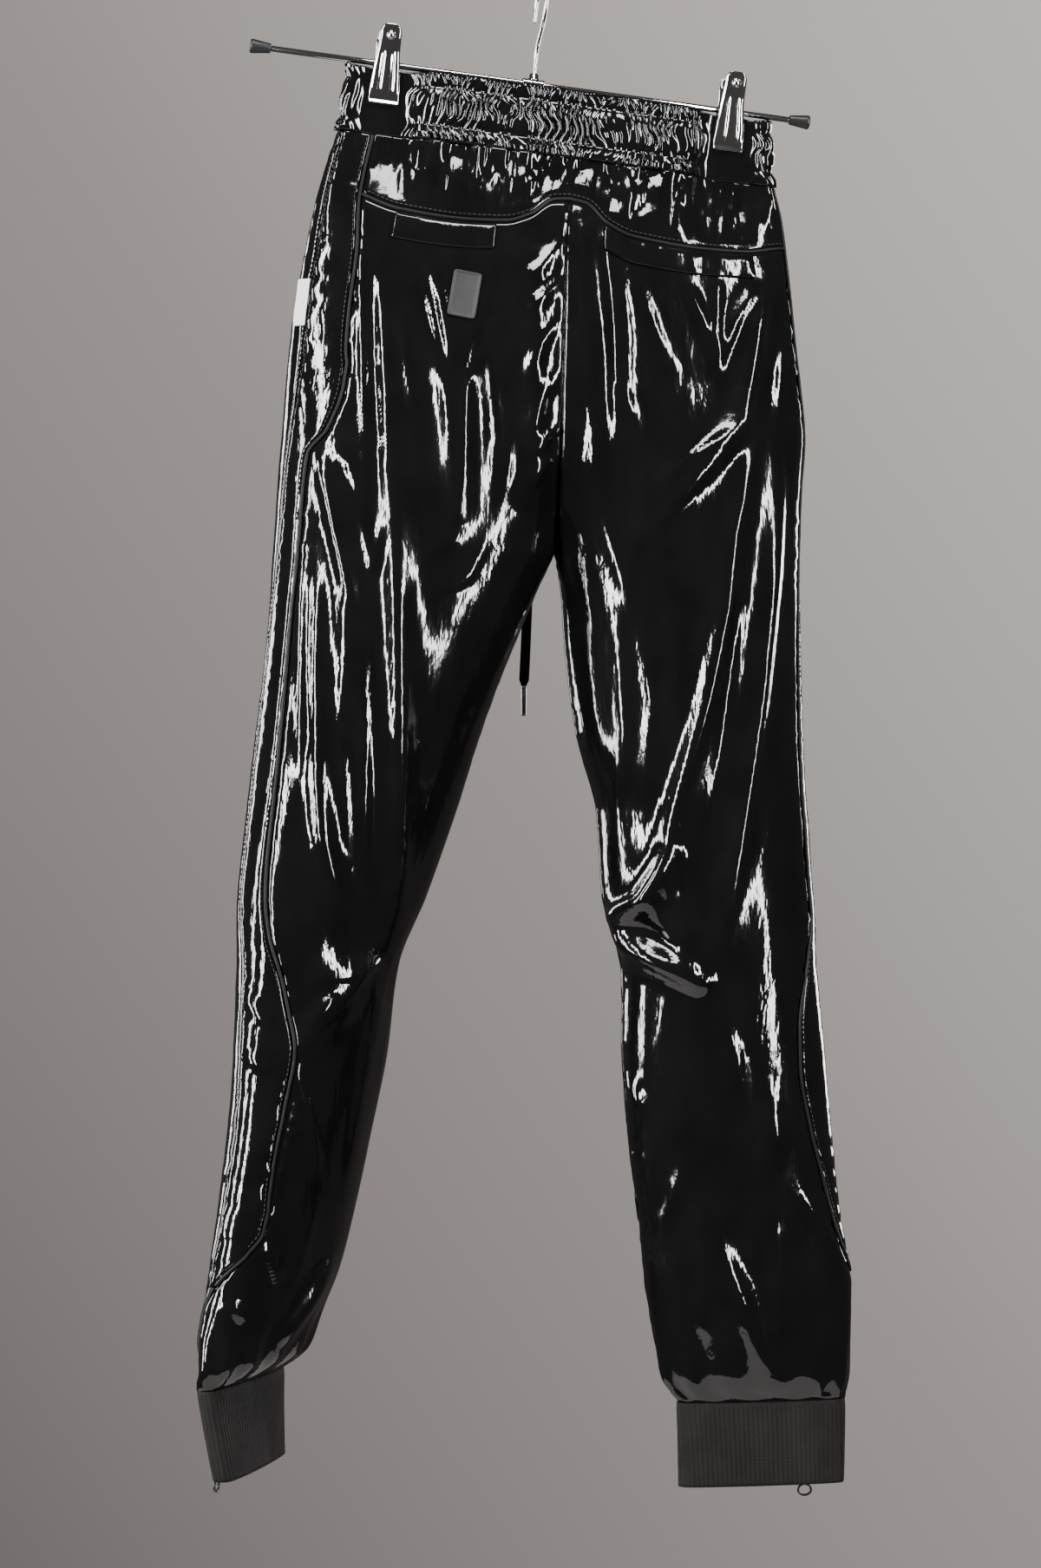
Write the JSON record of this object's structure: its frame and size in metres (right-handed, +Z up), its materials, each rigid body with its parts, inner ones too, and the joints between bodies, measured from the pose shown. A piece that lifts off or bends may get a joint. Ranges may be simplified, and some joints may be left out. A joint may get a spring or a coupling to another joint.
{
  "type": "vinyl trousers on a clip hanger",
  "caption": "High-gloss vinyl joggers with a gathered waist, piped yoke and side panels, knit cuffs and ankle zips, hung by two clips from a wire hanger.",
  "frame": {"origin": "the inside top of the hanger's hook, where it rests on a rail", "axes": "+Z up, +X towards the wearer's right leg along the bar seen from behind, +Y towards the garment's front"},
  "size_m": [0.4908, 0.1254, 1.1328],
  "materials": {
    "vinyl": "black high-gloss coated cloth",
    "piping": "matt dark grey",
    "rib_knit": "ribbed charcoal knit",
    "rubber": "matt grey moulded rubber",
    "label": "white woven tape",
    "cord": "black woven",
    "dark_metal": "dark plated metal",
    "black_metal": "black lacquered metal",
    "chrome": "bright chrome plate",
    "cap_plastic": "black moulded"
  },
  "bodies": {
    "hung_trousers": {"aglet_left": "dark_metal", "aglet_right": "dark_metal", "back_panel_left": "vinyl", "back_panel_right": "vinyl", "back_yoke": "vinyl", "badge": "rubber", "clip_left_back": "chrome", "clip_left_front": "chrome", "clip_right_back": "chrome", "clip_right_front": "chrome", "clip_rivet_left": "chrome", "clip_rivet_right": "chrome", "clip_spring_left": "chrome", "clip_spring_right": "chrome", "cuff_left": "rib_knit", "cuff_right": "rib_knit", "drawstring_left": "cord", "drawstring_right": "cord", "eyelet_left": "dark_metal", "eyelet_right": "dark_metal", "front_panel_left": "vinyl", "front_panel_right": "vinyl", "hanger_bar": "chrome", "hanger_bracket": "chrome", "hanger_cap_left": "cap_plastic", "hanger_cap_right": "cap_plastic", "hanger_hook": "chrome", "piping_left": "piping", "piping_right": "piping", "pocket_band_left": "vinyl", "pocket_band_right": "vinyl", "side_label": "label", "side_panel_left": "vinyl", "side_panel_right": "vinyl", "waistband": "vinyl", "yoke_piping": "piping", "zip_left": "cord", "zip_right": "cord", "zip_slider_left": "black_metal", "zip_slider_right": "black_metal"},
    "left_pull_tab": {"pull_tab_left": "black_metal"},
    "right_pull_tab": {"pull_tab_right": "black_metal"}
  },
  "joints": [
    {"name": "left_pull_tab_hinge", "type": "hinge", "parent": "hung_trousers", "child": "left_pull_tab", "pos_m": [-0.24295, -0.02271, -1.09009], "axis": [0.3896, 0.921, 0], "range_deg": [0, 150]},
    {"name": "right_pull_tab_hinge", "type": "hinge", "parent": "hung_trousers", "child": "right_pull_tab", "pos_m": [0.19919, 0.01324, -1.11356], "axis": [0.9983, -0.0579, 0], "range_deg": [0, 150]}
  ]
}
